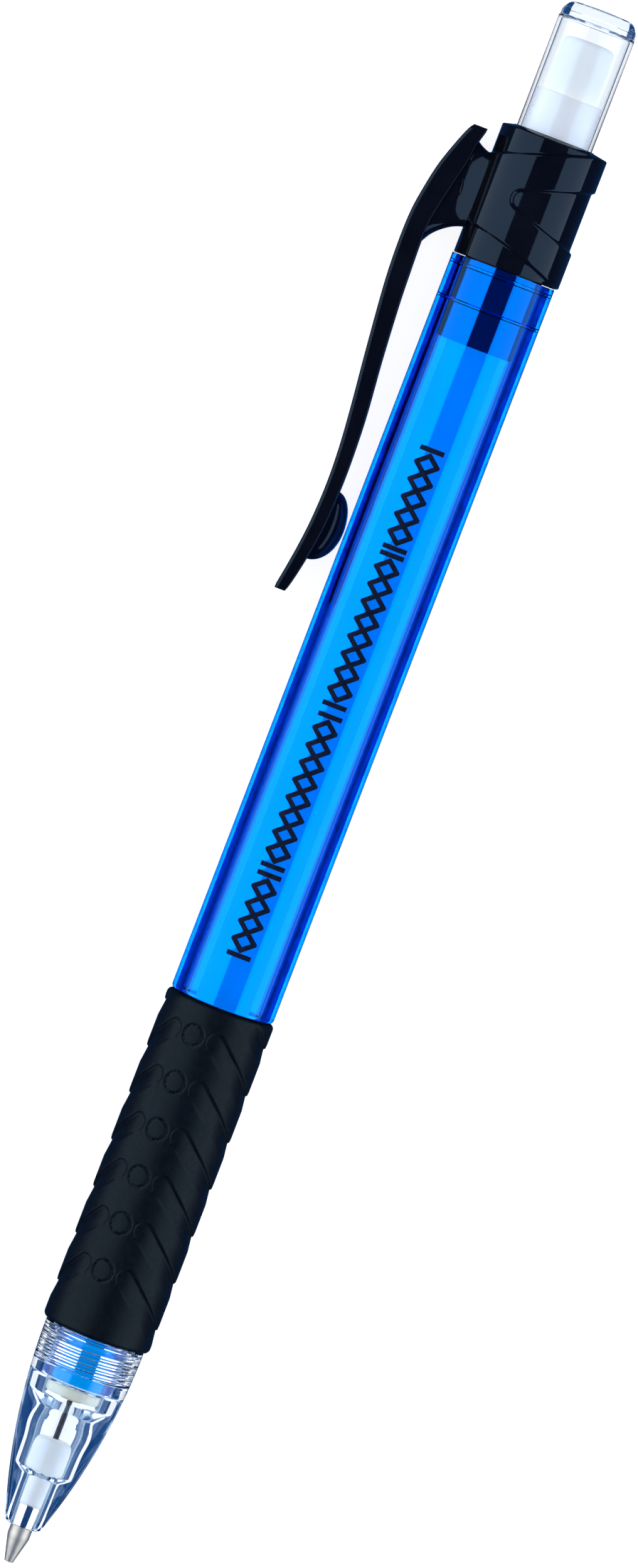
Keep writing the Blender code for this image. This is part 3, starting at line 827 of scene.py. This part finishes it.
def arm_section(inner, outer, half, shrink):
    """One section: flat sides and face, and a softly crowned back with rounded edges."""
    middle = (inner + outer) / 2
    reach = (outer - inner) / 2 * shrink
    crown, edge, steps = 0.11, 0.3, 6
    points = []
    corners = [(1, 1, edge), (-1, 1, edge), (-1, -1, edge * 0.5), (1, -1, edge * 0.5)]
    length = np.linalg.norm(reach)
    for side, face, size in corners:
        start = {(1, 1): 0, (-1, 1): 90, (-1, -1): 180, (1, -1): 270}[(side, face)]
        for k in range(steps + 1):
            turn = math.radians(start + 90 * k / steps)
            y = side * (half - size) + size * math.cos(turn)
            x = face * (length - size) + size * math.sin(turn)
            if face > 0:
                x -= crown * (y / half) ** 2
            points.append((y, x))
    ring = []
    unit = reach / length
    for y, x in points:
        radial, station = middle + unit * x
        ring.append((radial, y, station))
    return np.array(ring)


def web_rings():
    """Sections of the web that joins the arm to the collar. Its front edge sweeps forward into the arm."""
    root, height = 4.5, 3.4
    front_edge = [(root, 123.5), (5.0, 123.38), (5.6, 123.12), (6.2, 122.72), (6.8, 122.2)]
    front_edge += [(7.3, 121.55), (7.9, 120.4)]
    back_edge = [(root, 130.34), (5.0, 130.38), (5.6, 130.62), (6.2, 130.9), (6.8, 130.4)]
    back_edge += [(7.3, 129.6), (7.9, 128.4)]
    count, around, squareness = 22, 48, 0.45
    rings = []
    edges = zip(curve_through(front_edge, count), curve_through(back_edge, count))
    for (radial, front), (_, back) in edges:
        waist = (radial - root) / height
        half = 1.5 + 0.7 * (1 - waist) ** 2 + 0.25 * waist**2
        middle, length = (front + back) / 2, (back - front) / 2
        ring = []
        for k in range(around):
            turn = math.tau * k / around
            c, s = math.cos(turn), math.sin(turn)
            y = half * math.copysign(abs(c) ** squareness, c)
            z = length * math.copysign(abs(s) ** squareness, s)
            ring.append((radial, y, middle + z))
        rings.append(np.array(ring))
    return rings


def pad_rings():
    """The domed pad under the arm's free end, which presses on the barrel."""
    arm_side, barrel_side, middle = 6.9, 4.85, 94.85
    half_length, half_width, slope = 3.25, 1.55, 0.08
    nearly_closed = 0.985  # keeps the last ring open, to be capped
    count, around = 16, 48
    rings = []
    for i in range(count):
        t = i / (count - 1)
        size = math.cos(t * math.pi / 2 * nearly_closed)
        radial = arm_side - (arm_side - barrel_side) * math.sin(t * math.pi / 2)
        ring = []
        for k in range(around):
            turn = math.tau * k / around
            z = middle + half_length * size * math.sin(turn)
            lean = slope * (middle - z)
            ring.append((radial + lean * (1 - t), half_width * size * math.cos(turn), z))
        rings.append(np.array(ring))
    return rings


def build_clip():
    """The clip's arm and pad, which ride on the clip's body, and the web, which is moulded as one with the
    collar, rides on no body and has a dimple cut into each side.
    """
    for name, rings in (("clip_arm", arm_rings()), ("clip_pad", pad_rings())):
        points, faces = loft(rings)
        finish_mesh(name, points, faces, "clip_body", "clip", BLACK, sharp=40)
    points, faces = loft(web_rings())
    web = finish_mesh("clip_web", points, faces, None, "clip", BLACK, sharp=40)
    for side in (1, -1):
        dimple = bmesh.new()
        bmesh.ops.create_uvsphere(dimple, u_segments=32, v_segments=16, radius=1.0)
        size = Matrix.Diagonal((0.24, 0.4, 0.92, 1))
        lean = Matrix.Rotation(math.radians(8), 4, "Y")
        dimple.transform(Matrix.Translation((6.1, side * 1.95, 126.7)) @ lean @ size)
        cut_away(web, dimple)
    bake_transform(web)


# ---------------------------------------------------------------- push cap and eraser


def build_cap():
    roof = 143.9
    inside = [(0, roof), (2.7, roof, 0.2), (3.1, roof - 0.25, 0.15), (3.12, CAP_FRONT, 0.1)]
    side = [(3.46, CAP_FRONT, 0.1), (3.5, roof - 0.15, 0.05), (3.42, roof - 0.02, 0.03)]
    crown = [(3.42, roof + 0.45, 0.5), (2.9, LENGTH - 0.1, 0.7), (1.6, LENGTH, 0.8), (0, LENGTH)]
    lathe("cap", inside + side + crown, "cap_body", "push_cap", CLEAR, around=128)


def build_eraser():
    profile = [(0, 134.85), (2.3, 134.85, 0.1), (2.34, 140.0)]
    profile += [(2.3, 142.2, 0.5), (1.6, 142.4, 0.4), (0, 142.42)]
    lathe("rubber_stick", profile, "eraser_body", "eraser", ERASER)


def build_holder():
    """The cup that the eraser sits in. Its front end is pressed over the lead tube."""
    outside = [(2.53, 130.0), (2.98, 130.0, 0.1), (3.05, 130.3, 0.1), (3.05, 137.22, 0.08)]
    rim = [(2.92, 137.3, 0.05), (2.41, 137.3, 0.05)]
    inside = [(2.41, 134.75), (1.2, 134.75), (1.2, 134.2), (2.53, 134.2)]
    lathe("holder", outside + rim + inside, "mechanism", "eraser_holder", WHITE)


# ---------------------------------------------------------------- set, light and camera


def glow(name, colour, strength):
    """A material that only gives light."""
    made = bpy.data.materials.new(name)
    made.use_nodes = True
    tree = made.node_tree
    tree.nodes.remove(tree.nodes["Principled BSDF"])
    light = tree.nodes.new("ShaderNodeEmission")
    light.inputs["Color"].default_value = (*colour, 1)
    light.inputs["Strength"].default_value = strength
    tree.links.new(light.outputs["Emission"], tree.nodes["Material Output"].inputs["Surface"])
    return made


def panel(name, corners, look):
    """A flat four-cornered part of the set."""
    mesh = bpy.data.meshes.new(name)
    mesh.from_pydata([tuple(c) for c in corners], [], [(0, 1, 2, 3)])
    mesh.materials.append(look)
    made = bpy.data.objects.new(name, mesh)
    bpy.context.scene.collection.objects.link(made)
    return made


def build_floor():
    """A plain white table that glows a little, as a lit white sweep does, under a far white surround."""
    look = Look("white_table")
    look.set(Base_Color=(0.3, 0.3, 0.3, 1), Roughness=0.9, Specular_IOR_Level=0.0)
    look.set(Emission_Color=(1, 1, 1, 1), Emission_Strength=0.88)
    half, surround_radius = 6.0, 5.5
    corners = [(-half, -half, 0), (half, -half, 0), (half, half, 0), (-half, half, 0)]
    floor = panel("table", corners, look.material)
    floor.visible_glossy = False
    floor.visible_transmission = False
    surround = bpy.data.meshes.new("surround")
    shape = bmesh.new()
    bmesh.ops.create_uvsphere(shape, u_segments=48, v_segments=24, radius=surround_radius)
    bmesh.ops.reverse_faces(shape, faces=shape.faces)
    shape.to_mesh(surround)
    shape.free()
    surround.materials.append(glow("surround_glow", (0.96, 0.98, 1.0), 1.0))
    backdrop = bpy.data.objects.new("surround", surround)
    bpy.context.scene.collection.objects.link(backdrop)
    backdrop.visible_glossy = False
    backdrop.visible_diffuse = False
    backdrop.visible_transmission = False
    backdrop.visible_shadow = False


def hide_from_camera(made, reflections=False):
    """Leaves a glowing surface visible through clear plastic. With reflections it also lights the object."""
    made.visible_camera = False
    made.visible_glossy = reflections
    made.visible_diffuse = reflections
    made.visible_shadow = False


def build_surroundings():
    """What the clear plastic bends into view: lit panes behind, a pale horizon, and navy in between.

    Each pane has a name, the stations where it starts and stops, its half width, and its strength.
    """
    depth = -105
    panes = (("nose", -60, 35, 48, 1.1), ("barrel", 35, 127, 38, 2.9), ("cap", 127, 210, 82, 1.1))
    for name, low, high, half, strength in panes:
        corners = [(-half, depth, low), (half, depth, low), (half, depth, high), (-half, depth, high)]
        look = glow(f"{name}_glow", (1.0, 1.0, 1.0), strength)
        hide_from_camera(panel(f"{name}_pane", [PENCIL @ Vector(c) for c in corners], look))
    look = glow("horizon_glow", (0.45, 0.62, 0.85), 0.8)
    steps, reach = 24, 2.0
    front_half_angle, front_dip, side_dip, rise = 36, -8, -38, 12
    high = reach * math.tan(math.radians(rise))
    for i in range(steps):
        first, second = math.tau * i / steps, math.tau * (i + 1) / steps
        middle = (first + second) / 2
        toward_front = math.cos(middle + math.pi / 2) > math.cos(math.radians(front_half_angle))
        low = reach * math.tan(math.radians(front_dip if toward_front else side_dip))
        corners = []
        for turn, height in ((first, low), (second, low), (second, high), (first, high)):
            corners.append((reach * math.cos(turn), reach * math.sin(turn), height))
        hide_from_camera(panel(f"horizon_{i}", corners, look))


def around_axis(angle, distance, station):
    """A point at an angle round the pencil from the camera's side, positive towards the clip."""
    turn = math.pi / 2 - angle
    return PENCIL @ Vector((distance * math.cos(turn), distance * math.sin(turn), station))


def build_cards():
    """Two long soft boxes beside the camera, which show in reflections and light the pencil."""
    look = glow("card_glow", (0.82, 0.9, 1.0), 2.4)
    distance, front, back, steps = 600, -500, 650, 12
    for name, near, far in (("card_clip_side", 20, 94), ("card_far_side", -37, -96)):
        a, b = math.radians(near), math.radians(far)
        for i in range(steps):
            first = a + (b - a) * i / steps
            second = a + (b - a) * (i + 1) / steps
            corners = [around_axis(first, distance, front), around_axis(second, distance, front)]
            corners += [around_axis(second, distance, back), around_axis(first, distance, back)]
            hide_from_camera(panel(f"{name}_{i}", corners, look), reflections=True)


def build_lights():
    """One soft light on the camera's side of the pencil, in a navy world that clear plastic picks up."""
    distance, station, size = 700, 75, 0.7
    data = bpy.data.lights.new("top_light", "AREA")
    data.shape = "RECTANGLE"
    data.size, data.size_y = size, size
    data.energy = 3.0
    light = bpy.data.objects.new("top_light", data)
    bpy.context.scene.collection.objects.link(light)
    place = around_axis(0.0, distance, station)
    target = PENCIL @ Vector((0, 0, station))
    turn = (place - target).to_track_quat("Z", "Y").to_matrix().to_4x4()
    light.matrix_world = Matrix.Translation(place) @ turn
    light.visible_glossy = False
    light.visible_transmission = False
    world = bpy.data.worlds.new("studio")
    bpy.context.scene.world = world
    world.use_nodes = True
    world.node_tree.nodes["Background"].inputs["Color"].default_value = (0.008, 0.055, 0.19, 1)
    bpy.context.scene.view_settings.view_transform = "Standard"
    bpy.context.scene.cycles.max_bounces = 24
    bpy.context.scene.cycles.transmission_bounces = 20
    bpy.context.scene.cycles.glossy_bounces = 8


def build_camera():
    """The photograph's view: square on to the collar, rolled so that the cap points up and to the right."""
    above, distance, aim, aside, tall = 121.0, 838.0, 73.6, 1.0, 137.0
    roll = math.radians(20.957)
    place = PENCIL @ Vector((-aside, distance, above))
    target = PENCIL @ Vector((-aside, 0, aim))
    turn = PENCIL.to_3x3().normalized()
    up = turn @ Vector((math.sin(roll), 0, math.cos(roll)))
    back = (place - target).normalized()
    right = up.cross(back).normalized()
    true_up = back.cross(right)
    data = bpy.data.cameras.new("camera")
    data.sensor_width = 36
    data.lens = data.sensor_width * (place - target).length / (tall * MM)
    data.clip_start, data.clip_end = 0.05, 50
    camera = bpy.data.objects.new("camera", data)
    bpy.context.scene.collection.objects.link(camera)
    facing = Matrix((right, true_up, back)).transposed().to_4x4()
    camera.matrix_world = Matrix.Translation(place) @ facing
    bpy.context.scene.camera = camera


build_camera()
build_nose()
build_tip()
build_retainer()
build_leads()
build_spring()
build_chuck()
build_clutch_ring()
build_guide_sleeve()
build_lead_tube()
build_grip()
build_barrel()
build_print()
build_collar()
build_clip()
build_cap()
build_eraser()
build_holder()
build_floor()
build_surroundings()
build_cards()
build_lights()
